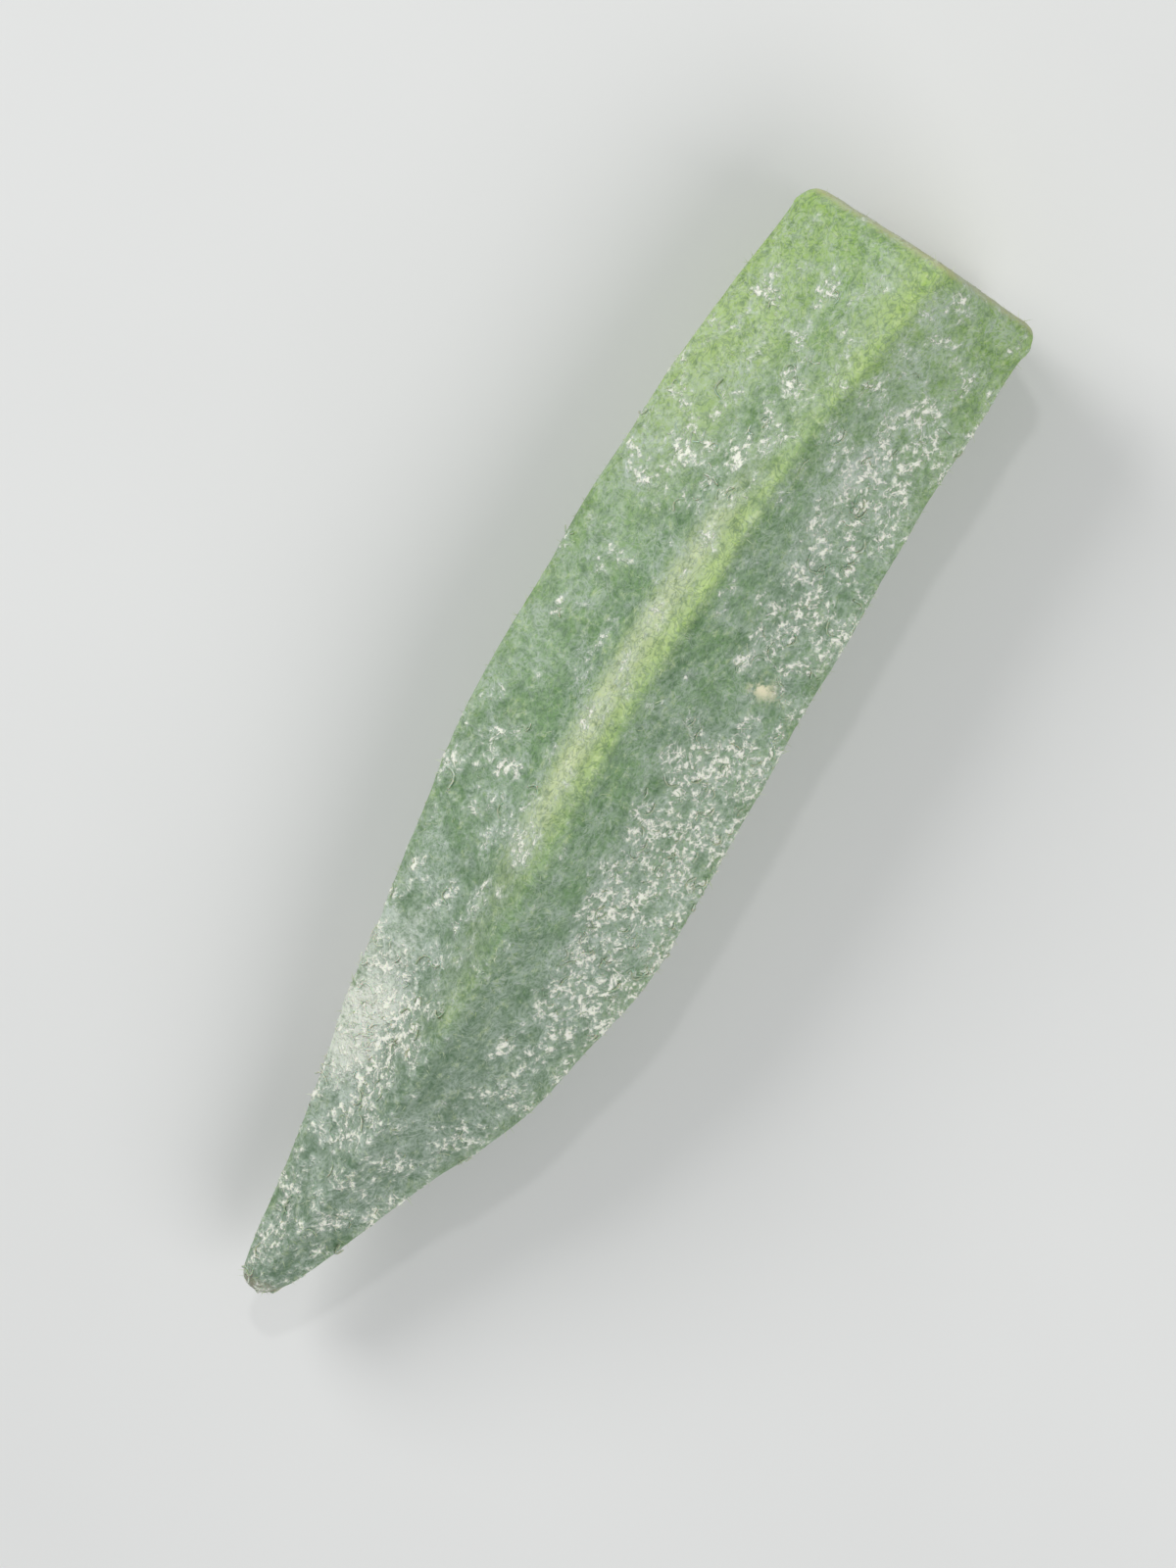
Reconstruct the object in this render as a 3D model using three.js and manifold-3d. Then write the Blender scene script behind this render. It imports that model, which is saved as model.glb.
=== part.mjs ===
// A single trimmed okra pod: five ridges, hollowed faces between them, an even thick body and a blunt
// pointed tip. Its cap is cut off square. It lies on two of its ridges, with the fifth one uppermost.
// Millimetres, +Z up, +X from the tip to the cut end, origin on the table under the middle of the pod.
import * as THREE from "three";
import Module from "manifold-3d";
import { mergeVertices } from "three/addons/utils/BufferGeometryUtils.js";

const wasm = await Module();
wasm.setup();

// Size of the pod
const podLength = 90;
const ridgeCount = 5;
const cornerRadius = 11.4;
const faceDistance = 9.16;
const cornerSharpness = 14;
const faceHollow = 0.72;
const keelHeight = 0.5;
const keelHalfAngle = 9;

// How it lies: height of the spine over the table, before the table presses its flats
const spineHeight = 8.82;

// Distance from the cut end, and the pod's thickness there as a share of the full one
const thickness = [
  [0, 0.926], [6, 0.925], [12, 0.932], [20, 0.967], [28, 0.997], [36, 1], [46, 0.994], [51, 0.977],
  [55, 0.928], [61, 0.83], [67, 0.728], [71, 0.622], [75, 0.5], [79, 0.402], [83, 0.305], [86.5, 0.222],
  [88.6, 0.16], [89.6, 0.108], [90, 0.057],
];

// Distance from the cut end, and how far the spine has bent sideways and up
const sidewaysBend = [
  [0, 0.45], [12, 0.93], [22, 0.72], [38, 0.1], [48, -0.75], [57, -1.5], [67, -1.65], [76, -1.15], [90, 0.1],
];
const upwardBend = [[0, 0.45], [8, 0.3], [18, 0.1], [30, 0], [55, -0.1], [75, -0.8], [90, -2.1]];

// Distance from the cut end, and how many degrees the uppermost ridge has wandered round the pod
const topRidgeWander = [
  [0, -7.5], [6, -7], [11, -4.5], [16, -2], [26, -0.5], [36, 1], [46, 2], [55, 3.3], [63, 2.5], [90, 3],
];

// The other four ridges wander in a slow wave: degrees, wavelength in mm and phase
const ridgeWander = [
  { degrees: 2.2, wavelength: 78, phase: 0.6 },
  { degrees: 1.6, wavelength: 95, phase: 2.1 },
  { degrees: 1.8, wavelength: 88, phase: 3.9 },
  { degrees: 2.4, wavelength: 70, phase: 5.0 },
];
const ridgeStrength = [1, 0.992, 1, 1.002, 0.988];

// Slow swellings of the whole surface: height and wavelength in mm, waves round the pod and phase
const swellings = [
  { height: 0.09, wavelength: 27, waves: 2, phase: 1.3 },
  { height: 0.055, wavelength: 15.5, waves: -3, phase: 0.4 },
  { height: 0.035, wavelength: 9.5, waves: 5, phase: 2.2 },
];

// The cut end: the knife leans a little, the section is rounder there, and its edge is rolled over
const knifeLean = 4;
const knifeReach = 11;
const cutFaceTop = 9.5;
const roundSection = { radius: 10.7, atCut: 0.36, cutFade: 9, atTip: 0.75, tipFade: 3.2 };
const scarRing = { from: 1.75, width: 0.45, height: 0.09 };
const edgeRoll = { length: 1.9, inset: 1.4 };
const cutFaceRings = [0.35, 0.7];

// How finely the surface is divided
const anglesFromRidge = [0, 2.2, 4.6, 7.4, 11, 16, 22, 29];
const cutEndSteps = [0, 0.12, 0.4, 0.85, 1.3, 1.75, 2.2, 2.9, 4];
const bodySteps = 42;
const bodyEnd = 86.5;
const tipSteps = [87.6, 88.6, 89.2, 89.65, 89.9, 90];

const toRadians = Math.PI / 180;
const sectorAngle = 360 / ridgeCount;

// A smooth curve through [place, value] stations, read at one place.
function along(stations, place) {
  const last = stations.length - 1;
  let i = 0;
  while (i < last - 1 && place > stations[i + 1][0]) i += 1;
  const slopeAt = (n) => {
    const before = stations[Math.max(n - 1, 0)];
    const after = stations[Math.min(n + 1, last)];
    return (after[1] - before[1]) / (after[0] - before[0]);
  };
  const [start, startValue] = stations[i];
  const [end, endValue] = stations[i + 1];
  const step = end - start;
  const t = (place - start) / step;
  return (
    startValue * (1 + 2 * t) * (1 - t) ** 2 +
    slopeAt(i) * step * t * (1 - t) ** 2 +
    endValue * t * t * (3 - 2 * t) -
    slopeAt(i + 1) * step * t * t * (1 - t)
  );
}

// Where ridge number k runs, in degrees from the top, at a place along the pod.
function ridgeAngle(k, place) {
  if (k === 0) return along(topRidgeWander, place);
  const wave = ridgeWander[k - 1];
  const turn = (2 * Math.PI * place) / wave.wavelength + wave.phase;
  return k * sectorAngle + wave.degrees * Math.sin(turn);
}

// Radius of the five-sided section. The angle runs from ridge k to the next one, share 0 to 1.
function sectionRadius(k, share, place) {
  const fromFaceMiddle = (share - 0.5) * sectorAngle * toRadians;
  const flatFace = faceDistance / Math.cos(fromFaceMiddle);
  const five =
    (flatFace ** -cornerSharpness + cornerRadius ** -cornerSharpness) ** (-1 / cornerSharpness) -
    faceHollow * Math.cos(Math.PI * (share - 0.5)) ** 2;
  const fromRidge = Math.min(share, 1 - share) * sectorAngle;
  const keel = keelHeight * Math.exp(-((fromRidge / keelHalfAngle) ** 2));
  const strength = ridgeStrength[k] * (1 - share) + ridgeStrength[(k + 1) % ridgeCount] * share;
  const fromTip = podLength - place;
  const roundness =
    roundSection.atCut * Math.exp(-((place / roundSection.cutFade) ** 2)) +
    roundSection.atTip * Math.exp(-((fromTip / roundSection.tipFade) ** 2));
  return (five + keel) * strength * (1 - roundness) + roundSection.radius * roundness;
}

// How far the edge is rolled in towards the cut face, and the low ring where the cap was joined.
function edgeInset(place) {
  const left = Math.max(0, 1 - place / edgeRoll.length);
  const rolled = edgeRoll.inset * (1 - Math.sqrt(1 - left * left));
  const ring = scarRing.height * Math.exp(-(((place - scarRing.from) / scarRing.width) ** 2));
  return rolled - ring;
}

// A point on the skin, at a place along the pod and a share of the way from ridge k to the next.
function skinPoint(place, k, share) {
  const from = ridgeAngle(k, place);
  const to = k === ridgeCount - 1 ? ridgeAngle(0, place) + 360 : ridgeAngle(k + 1, place);
  const angle = (from + (to - from) * share) * toRadians;
  let radius = sectionRadius(k, share, place) * along(thickness, place);
  for (const wave of swellings) {
    const turn = (2 * Math.PI * place) / wave.wavelength + wave.waves * angle + wave.phase;
    radius += wave.height * Math.sin(turn) * along(thickness, place);
  }
  radius -= edgeInset(place);
  return atSpine(place, radius * Math.sin(angle), radius * Math.cos(angle));
}

// A point given by its place along the spine and its sideways and upward distance from it.
function atSpine(place, sideways, upwards) {
  const lean = Math.tan(knifeLean * toRadians) * Math.max(0, 1 - place / knifeReach) ** 2;
  return new THREE.Vector3(
    podLength / 2 - place - lean * (cutFaceTop - upwards),
    along(sidewaysBend, place) + sideways,
    spineHeight + along(upwardBend, place) + upwards,
  );
}

// One ring of points round the pod, closer together at the ridges.
function ringAt(place, scale = 1) {
  const ring = [];
  for (let k = 0; k < ridgeCount; k += 1) {
    const shares = anglesFromRidge.map((angle) => angle / sectorAngle);
    const wayBack = shares.slice(1).reverse().map((share) => 1 - share);
    for (const share of [...shares, 0.5, ...wayBack]) ring.push(skinPoint(place, k, share));
  }
  if (scale === 1) return ring;
  const centre = atSpine(place, 0, 0);
  return ring.map((point) => centre.clone().lerp(point, scale));
}

// The whole skin as one closed surface, from the middle of the cut face to the middle of the tip.
function podGeometry() {
  const rings = cutFaceRings.map((scale) => ringAt(0, scale));
  for (const place of cutEndSteps) rings.push(ringAt(place));
  const bodyStart = cutEndSteps.at(-1);
  for (let i = 1; i <= bodySteps; i += 1) {
    rings.push(ringAt(bodyStart + ((bodyEnd - bodyStart) * i) / bodySteps));
  }
  for (const place of tipSteps) rings.push(ringAt(place));
  const points = [atSpine(0, 0, 0), ...rings.flat(), atSpine(podLength, 0, 0)];
  const around = rings[0].length;
  const tipMiddle = points.length - 1;
  const faces = [];
  for (let i = 0; i < around; i += 1) {
    const next = (i + 1) % around;
    faces.push(0, 1 + next, 1 + i);
    for (let ring = 0; ring < rings.length - 1; ring += 1) {
      const here = 1 + ring * around;
      const beyond = here + around;
      faces.push(here + i, beyond + next, beyond + i);
      faces.push(here + i, here + next, beyond + next);
    }
    const lastRing = tipMiddle - around;
    faces.push(tipMiddle, lastRing + i, lastRing + next);
  }
  const geometry = new THREE.BufferGeometry().setFromPoints(points);
  geometry.setIndex(faces);
  return geometry;
}

// A closed three.js geometry as a solid that can be cut.
function solidFrom(geometry) {
  const bare = geometry.clone();
  bare.deleteAttribute("normal");
  bare.deleteAttribute("uv");
  const merged = mergeVertices(bare);
  return new wasm.Manifold(
    new wasm.Mesh({
      numProp: 3,
      vertProperties: new Float32Array(merged.attributes.position.array),
      triVerts: new Uint32Array(merged.index.array),
    }),
  );
}

// A solid back as a three.js geometry.
function geometryFrom(solid) {
  const { vertProperties, triVerts } = solid.getMesh();
  const geometry = new THREE.BufferGeometry();
  geometry.setAttribute("position", new THREE.BufferAttribute(vertProperties, 3));
  geometry.setIndex(new THREE.BufferAttribute(triVerts, 1));
  geometry.computeVertexNormals();
  return geometry;
}

// Everything under the table top, which takes a thin flat off the two ridges that the pod lies on.
const underTable = new THREE.BoxGeometry(2 * podLength, podLength, podLength);
underTable.translate(0, 0, -podLength / 2);
const lyingPod = solidFrom(podGeometry()).subtract(solidFrom(underTable));

const skin = new THREE.MeshStandardMaterial({ color: 0x6f9a55, roughness: 0.62, metalness: 0 });
const pod = new THREE.Mesh(geometryFrom(lyingPod), skin);
pod.name = "pod";

const okraPod = new THREE.Group();
okraPod.add(pod);

export default okraPod;
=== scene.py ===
import math
import bpy
from mathutils import Matrix, Vector


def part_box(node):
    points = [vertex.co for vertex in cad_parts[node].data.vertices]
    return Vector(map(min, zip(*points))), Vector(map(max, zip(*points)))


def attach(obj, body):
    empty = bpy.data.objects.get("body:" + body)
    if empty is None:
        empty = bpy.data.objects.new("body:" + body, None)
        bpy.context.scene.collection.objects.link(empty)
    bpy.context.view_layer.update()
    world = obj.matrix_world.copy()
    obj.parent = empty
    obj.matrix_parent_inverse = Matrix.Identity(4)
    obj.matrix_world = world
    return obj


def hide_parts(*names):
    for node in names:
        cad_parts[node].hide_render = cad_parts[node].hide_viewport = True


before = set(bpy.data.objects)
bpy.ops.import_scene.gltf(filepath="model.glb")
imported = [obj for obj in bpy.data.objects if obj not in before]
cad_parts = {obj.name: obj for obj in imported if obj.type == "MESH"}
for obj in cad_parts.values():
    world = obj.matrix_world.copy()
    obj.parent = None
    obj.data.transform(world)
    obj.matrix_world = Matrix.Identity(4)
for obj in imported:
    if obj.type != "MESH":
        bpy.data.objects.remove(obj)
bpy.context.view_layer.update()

mm = 0.001
print("stage: frame loaded")


# Node helpers, shared by every geometry and shader tree below

# A value in a node tree. Formulas on it add Math nodes, so they read like plain arithmetic.
class Field:
    def __init__(self, socket):
        self.socket = socket
        self.tree = socket.id_data

    def __add__(self, other):
        return calc("ADD", self, other)

    def __sub__(self, other):
        return calc("SUBTRACT", self, other)

    def __mul__(self, other):
        return calc("MULTIPLY", self, other)

    def __truediv__(self, other):
        return calc("DIVIDE", self, other)

    def __pow__(self, other):
        return calc("POWER", self, other)

    def __rsub__(self, other):
        return calc("SUBTRACT", other, self)

    __radd__ = __add__
    __rmul__ = __mul__


def openSocket(sockets, name):
    return next(socket for socket in sockets if socket.enabled and socket.name == name)


def addNode(tree, kind, inputs=None, **settings):
    made = tree.nodes.new(kind)
    made.location = (190 * (len(tree.nodes) % 30), -260 * (len(tree.nodes) // 30))
    for name, value in settings.items():
        setattr(made, name, value)
    for name, value in (inputs or {}).items():
        plug(tree, made.inputs[name] if isinstance(name, int) else openSocket(made.inputs, name), value)
    return made


def plug(tree, socket, value):
    if isinstance(value, Field):
        value = value.socket
    if isinstance(value, bpy.types.NodeSocket):
        tree.links.new(value, socket)
    else:
        socket.default_value = value


def calc(operation, *values):
    tree = next(value.tree for value in values if isinstance(value, Field))
    made = addNode(tree, "ShaderNodeMath", dict(enumerate(values)), operation=operation)
    return Field(made.outputs[0])


def ramp(value, start, end):  # 0 at start, 1 at end, smooth in between; start may be the larger one
    inputs = {"Value": value, "From Min": start, "From Max": end}
    made = addNode(value.tree, "ShaderNodeMapRange", inputs, interpolation_type="SMOOTHSTEP")
    return Field(openSocket(made.outputs, "Result"))


def bell(value, halfWidth):
    return calc("EXPONENT", (value / halfWidth) ** 2 * -1)


def blend(share, first, second):
    return first + share * (second - first)


def through(place, stations):  # a smooth curve through (place, value) stations
    end = stations[-1][0]
    values = [value for _, value in stations]
    low, reach = min(values), max(values) - min(values)
    made = addNode(place.tree, "ShaderNodeFloatCurve", {"Value": place / end})
    line = made.mapping.curves[0]
    spots = [(at / end, (value - low) / reach) for at, value in stations]
    line.points[0].location, line.points[1].location = spots[0], spots[-1]
    for spot in spots[1:-1]:
        line.points.new(*spot)
    made.mapping.update()
    return Field(made.outputs[0]) * reach + low


def vector(tree, x, y, z):
    return Field(addNode(tree, "ShaderNodeCombineXYZ", {"X": x, "Y": y, "Z": z}).outputs[0])


def parts(value):
    made = addNode(value.tree, "ShaderNodeSeparateXYZ", {0: value})
    return [Field(socket) for socket in made.outputs]


def scaled(value, factor):
    inputs = {"Vector": value, "Scale": factor}
    made = addNode(value.tree, "ShaderNodeVectorMath", inputs, operation="SCALE")
    return Field(openSocket(made.outputs, "Vector"))


def noise(place, size, detail=2.0, roughness=0.5, distortion=0.0):  # size is in the place's own unit
    inputs = {"Vector": place, "Scale": 1 / size, "Detail": detail}
    inputs.update({"Roughness": roughness, "Distortion": distortion})
    return Field(addNode(place.tree, "ShaderNodeTexNoise", inputs).outputs[0])


# A place round a circle of that radius, with the length squeezed, so that noise there draws fibres along
# the pod. With the way out from the middle as length, it draws spokes on the cut face.
def fibrePlace(side, top, length, radius=10, squeeze=0.14):
    return vector(side.tree, side * radius, top * radius, length * squeeze)


def showing(value, start, full, amount):  # 0 where it starts, and that amount where it is full
    return ramp(value, start, full) * amount


def strip(value, middle, halfWidth):
    return bell(value - middle, halfWidth)


# Curls where noise crosses a level, positive on the curls and negative between them
def curlLines(place, size, wriggle, level, height, sharpness):
    return height - calc("ABSOLUTE", noise(place, size, 1.0, 0.5, wriggle) - level) * sharpness


# How ice grows. Sizes are in mm. A pair is where something starts and where it is full, and a third
# number is how much of it there is then.
iceGrowth = {
    "patchSize": 2.1,
    "patchContrast": 2.8,
    "patchEdge": (0.15, 1.05),
    # size, wriggle, level of the noise, height and sharpness
    "longCurls": (1.5, 1.8, 0.5, 1, 8),
    "shortCurls": (0.8, 1.0, 0.47, 0.8, 7),
    "curlBreaks": (0.32, 0.6),
    "crumbSize": 0.5,
    "crumbs": (0.45, 0.7, 0.3),
    "ground": 0.22,
    "curls": 0.95,
    "thinCurlWidth": 0.08,
}


# Where ice has grown, 0 to 1, from a place in mm and how frosty that part of the pod is. The colours, the
# skin's relief and the loose grains and threads all read this same pattern.
def icePattern(place, frost):
    patches = noise(place, iceGrowth["patchSize"], 3.0, 0.6) - 0.5
    share = ramp(frost + patches * iceGrowth["patchContrast"], *iceGrowth["patchEdge"])
    longCurls = curlLines(place, *iceGrowth["longCurls"])
    shortCurls = curlLines(place, *iceGrowth["shortCurls"])
    crumbs = noise(place, iceGrowth["crumbSize"], 3.0, 0.65)
    curls = calc("MAXIMUM", calc("MAXIMUM", longCurls, shortCurls), 0)
    curls = curls * ramp(crumbs, *iceGrowth["curlBreaks"])
    ice = iceGrowth["ground"] + curls * iceGrowth["curls"] + showing(crumbs, *iceGrowth["crumbs"])
    return calc("MINIMUM", share * ice, 1)


# Thin curls, 0 to 1, that run over the whole skin
def thinCurls(place, size):
    fromMiddle = calc("ABSOLUTE", noise(place, size, 2.0, 0.6, 1.4) - 0.5)
    return ramp(fromMiddle, iceGrowth["thinCurlWidth"], 0)


# Geometry trees

def geometryTree(name, sockets):
    tree = bpy.data.node_groups.new(name, "GeometryNodeTree")
    tree.is_modifier = True
    tree.interface.new_socket("Geometry", in_out="INPUT", socket_type="NodeSocketGeometry")
    tree.interface.new_socket("Geometry", in_out="OUTPUT", socket_type="NodeSocketGeometry")
    for label, value in sockets.items():
        kind = "Material" if isinstance(value, bpy.types.Material) else type(value).__name__.capitalize()
        made = tree.interface.new_socket(label, in_out="INPUT", socket_type="NodeSocket" + kind)
        made.default_value = value
    start = tree.nodes.new("NodeGroupInput")
    given = {socket.name: Field(socket) for socket in start.outputs if socket.name}
    return tree, given


def finishTree(tree, geometry, material, select=None, otherMaterial=None):
    geometry = addNode(tree, "GeometryNodeRealizeInstances", {"Geometry": geometry}).outputs[0]
    inputs = {"Geometry": geometry, "Material": material}
    geometry = addNode(tree, "GeometryNodeSetMaterial", inputs).outputs[0]
    if select is not None:
        inputs = {"Geometry": geometry, "Selection": select, "Material": otherMaterial}
        geometry = addNode(tree, "GeometryNodeSetMaterial", inputs).outputs[0]
    tree.links.new(geometry, tree.nodes.new("NodeGroupOutput").inputs[0])


def keepValue(geometry, name, value):
    tree = value.tree
    inputs = {"Geometry": geometry, "Name": name, "Value": value}
    return addNode(tree, "GeometryNodeStoreNamedAttribute", inputs, data_type="FLOAT").outputs[0]


def keptValue(tree, name):
    made = addNode(tree, "GeometryNodeInputNamedAttribute", {"Name": name}, data_type="FLOAT")
    return Field(openSocket(made.outputs, "Attribute"))


def randomBetween(tree, low, high, seed):
    kind = "FLOAT_VECTOR" if isinstance(low, tuple) else "FLOAT"
    made = addNode(tree, "FunctionNodeRandomValue", data_type=kind)
    for name, value in (("Min", low), ("Max", high), ("Seed", seed)):
        plug(tree, openSocket(made.inputs, name), value)
    return Field(openSocket(made.outputs, "Value"))


# Runs a tree on a copy of the ground's mesh, or on an empty mesh, and returns the result as a plain mesh
# object at the origin
def growPiece(name, tree, ground=None):
    mesh = ground.data.copy() if ground else bpy.data.meshes.new(name)
    piece = bpy.data.objects.new(name, mesh)
    bpy.context.scene.collection.objects.link(piece)
    modifier = piece.modifiers.new("grow", "NODES")
    modifier.node_group = tree
    view = bpy.context.evaluated_depsgraph_get()
    finished = piece.evaluated_get(view)
    grown = bpy.data.meshes.new_from_object(finished, preserve_all_data_layers=True, depsgraph=view)
    piece.modifiers.clear()
    piece.data = grown
    grown.name = name
    grown.calc_loop_triangles()
    print(f"stage: {name} grown, {len(grown.loop_triangles)} triangles")
    return piece


def settle(piece, nodes=()):
    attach(piece, "root")
    if nodes:
        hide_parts(*nodes)


# Materials

def colour(red, green, blue):  # an ordinary screen colour, 0 to 255, as Blender's linear one
    def linear(value):
        value = value / 255
        return value / 12.92 if value <= 0.04045 else ((value + 0.055) / 1.055) ** 2.4
    return (linear(red), linear(green), linear(blue), 1)


def newMaterial(name, settings):
    material = bpy.data.materials.new(name)
    material.use_nodes = True
    tree = material.node_tree
    shader = tree.nodes["Principled BSDF"]
    for label, value in settings.items():
        shader.inputs[label].default_value = value
    return material, tree, shader


def skinValue(tree, name):
    return Field(addNode(tree, "ShaderNodeAttribute", attribute_name=name).outputs["Fac"])


def placeInMm(tree):
    coordinate = addNode(tree, "ShaderNodeTexCoord").outputs["Object"]
    return scaled(Field(coordinate), 1 / mm)


def tint(tree, share, first, second):
    made = addNode(tree, "ShaderNodeMix", {0: share, 6: first, 7: second}, data_type="RGBA")
    return Field(made.outputs[2])


def bump(tree, height, distance):
    inputs = {"Height": height, "Distance": distance, "Strength": 1.0}
    return Field(addNode(tree, "ShaderNodeBump", inputs).outputs[0])


# Thin layers of the look's colours, one over the other, each given as its share and the colour's name
def wash(base, look, layers):
    for share, name in layers:
        base = tint(base.tree, share, base, look[name])
    return base


def plugLook(shader, base, roughness, height, reliefInMm):
    tree = base.tree
    plug(tree, shader.inputs["Base Color"], base)
    plug(tree, shader.inputs["Roughness"], roughness)
    plug(tree, shader.inputs["Normal"], bump(tree, height, reliefInMm * mm))


# The thin veil of frost: sizes in mm, where a pattern starts and is full, and how much each one adds
frostVeil = {
    "curlSize": 1.2,
    "smallCurlSize": 0.7,
    "smallCurls": 0.7,
    "dustSize": 0.32,
    "dustEdge": (0.38, 0.66),
    "cloudSize": 2.8,
    "cloudEdge": (0.3, 0.68),
    "evenHaze": 0.1,
    "dustyHaze": 0.5,
    "cloudyHaze": 0.6,
    "evenCurls": 0.35,
    "cloudyCurls": 0.6,
}


# Frost as the skin and the cut flesh both wear it: a thin veil all over, and ice where it has grown
def frostGroup():
    tree = bpy.data.node_groups.new("frostCover", "ShaderNodeTree")
    for label, value in (("Frost", 0.5), ("Haze", 0.5), ("Veil", 0.3), ("Clumps", 0.8)):
        made = tree.interface.new_socket(label, in_out="INPUT", socket_type="NodeSocketFloat")
        made.default_value = value
    tree.interface.new_socket("Place", in_out="INPUT", socket_type="NodeSocketVector")
    for label in ("Cover", "Ice"):
        tree.interface.new_socket(label, in_out="OUTPUT", socket_type="NodeSocketFloat")
    start = tree.nodes.new("NodeGroupInput")
    given = {socket.name: Field(socket) for socket in start.outputs if socket.name}
    place, frost = given["Place"], given["Frost"]
    ice = icePattern(place, frost)
    smallCurls = thinCurls(place, frostVeil["smallCurlSize"]) * frostVeil["smallCurls"]
    curls = calc("MAXIMUM", thinCurls(place, frostVeil["curlSize"]), smallCurls)
    dust = ramp(noise(place, frostVeil["dustSize"], 3.0, 0.6), *frostVeil["dustEdge"])
    clouds = ramp(noise(place, frostVeil["cloudSize"], 4.0, 0.6), *frostVeil["cloudEdge"])
    haze = frostVeil["evenHaze"] + dust * frostVeil["dustyHaze"] + clouds * frostVeil["cloudyHaze"]
    veil = given["Haze"] * haze + curls * (frostVeil["evenCurls"] + clouds * frostVeil["cloudyCurls"])
    cover = calc("MINIMUM", veil * given["Veil"] + ice * given["Clumps"], 1)
    end = tree.nodes.new("NodeGroupOutput")
    tree.links.new(cover.socket, end.inputs["Cover"])
    tree.links.new(ice.socket, end.inputs["Ice"])
    return tree


def wearFrost(tree, group, values):
    made = addNode(tree, "ShaderNodeGroup", node_tree=group)
    for label, value in values.items():
        plug(tree, made.inputs[label], value)
    return Field(made.outputs["Cover"]), Field(made.outputs["Ice"])


skinLook = {
    "hollow": colour(80, 120, 68),
    "face": colour(106, 146, 84),
    "fresh": colour(145, 181, 76),
    "ridge": colour(166, 200, 74),
    # painted highlight along the pod's lit left side
    "edge": colour(184, 212, 112),
    # the top ridge's paler colour, with a painted highlight on it
    "crest": colour(178, 202, 114),
    # pale colour of fibres and specks, also the painted highlight left of the top ridge, partly pale haze
    "paleAndPaintedHighlight": colour(224, 234, 172),
    # dark green of specks and curls, also painted shade right of the top ridge and between ice curls
    "shade": colour(56, 92, 54),
    "tip": colour(84, 110, 88),
    "rim": colour(204, 198, 146),
    "scar": colour(134, 98, 56),
    "cream": colour(224, 217, 184),
    "greyIce": colour(178, 191, 178),
    "whiteIce": colour(234, 235, 220),
    "veil": 0.44,
    "clumps": 0.9,
    "gloss": {"Specular IOR Level": 0.4, "Subsurface Weight": 0.12, "Subsurface Scale": 0.0015},
    "lightReach": (0.6, 1.0, 0.35),  # under the skin, for red, green and blue
    # sizes in mm
    "fibreSize": 0.45,
    "mottleSize": 3.2,
    "speckleSize": 0.7,
    "unevenSize": 1.6,
    "curlSize": 0.95,
    "relief": 0.14,
    # beside the top ridge: mm to its left, and half width
    # where the painted highlight left of the ridge lies
    "paintedHighlightStrip": (2.2, 1.5),
    # where the painted shade right of the ridge lies
    "shadeStrip": (-2.6, 2.1),
    "crestStrip": (0.4, 0.85),
    "clearStrip": (0.4, 1.1),
    # by mm from the cut end: where it starts, where it is full, and how much shows then
    "freshReach": (34, 4, 0.95),
    "freshWanders": 16,  # mm by which mottling moves its edge
    "tipReach": (48, 76, 0.8),
    "tipWanders": 8,
    "crestWidens": (14, 4, 0.7),
    "clearReach": (60, 45, 0.5),
    "driedRim": (0.7, 0.05, 0.75),
    "stainReach": (0.25, 0.05),
    "tipScar": (88.4, 89.6, 0.8),
    # the same, by the strength of a pattern; a single number is how much shows
    "mottled": (0.36, 0.62),
    "unevenEdge": (0.2, 0.62),
    "fibres": (0.5, 0.75, 0.12),
    "paleSpecks": (0.53, 0.7, 0.35),
    "darkSpecks": (0.48, 0.32, 0.45),
    "darkCurls": 0.5,
    "cutStains": (0.45, 0.6, 0.35),
    "spotBreaks": (0.4, 0.58),
    "iceGapsAndPaintedShade": (0.36, 0.06, 0.62),
    "whiteIceEdge": (0.35, 0.95),
    "hazeWhitens": (0.9, 2.8, 0.7),
    # and by the way round the pod, where 1 is its left or its top
    "paintedLightLeftEdge": (0.3, 0.95),
    "lowerRidges": (0.6, 0.2, 0.25),
    # a small pale spot: mm from the cut end, half length, place across and half width
    "creamSpot": (32.0, 0.65, -0.77, 0.07),
    # from here on, stations are (mm from the cut end, how much shows there)
    # how strongly the crest and its painted highlight show
    "ridgeShows": [
        (0, 0.6), (8, 0.7), (15, 0.4), (21, 0.8), (28, 0.8), (36, 0.6), (44, 0.5), (51, 0.25), (56, 0.1),
        (62, 0.4), (66, 0.05), (90, 0),
    ],
    # how strongly the painted highlight left of the ridge shows
    "paintedHighlightShows": [(0, 0.2), (12, 0.15), (20, 0.4), (28, 1), (40, 1), (48, 0.8), (56, 0.2), (90, 0)],
    # how strongly the painted shade right of the ridge shows
    "shadeShows": [(0, 0), (10, 0.05), (18, 0.05), (30, 0.05), (50, 0.05), (58, 0.1), (72, 0.25), (90, 0)],
    # how strongly the painted highlight along the left side shows
    "edgeShows": [(0, 0.2), (8, 0.5), (14, 0.75), (22, 0.5), (30, 0.15), (90, 0)],
}


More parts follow.
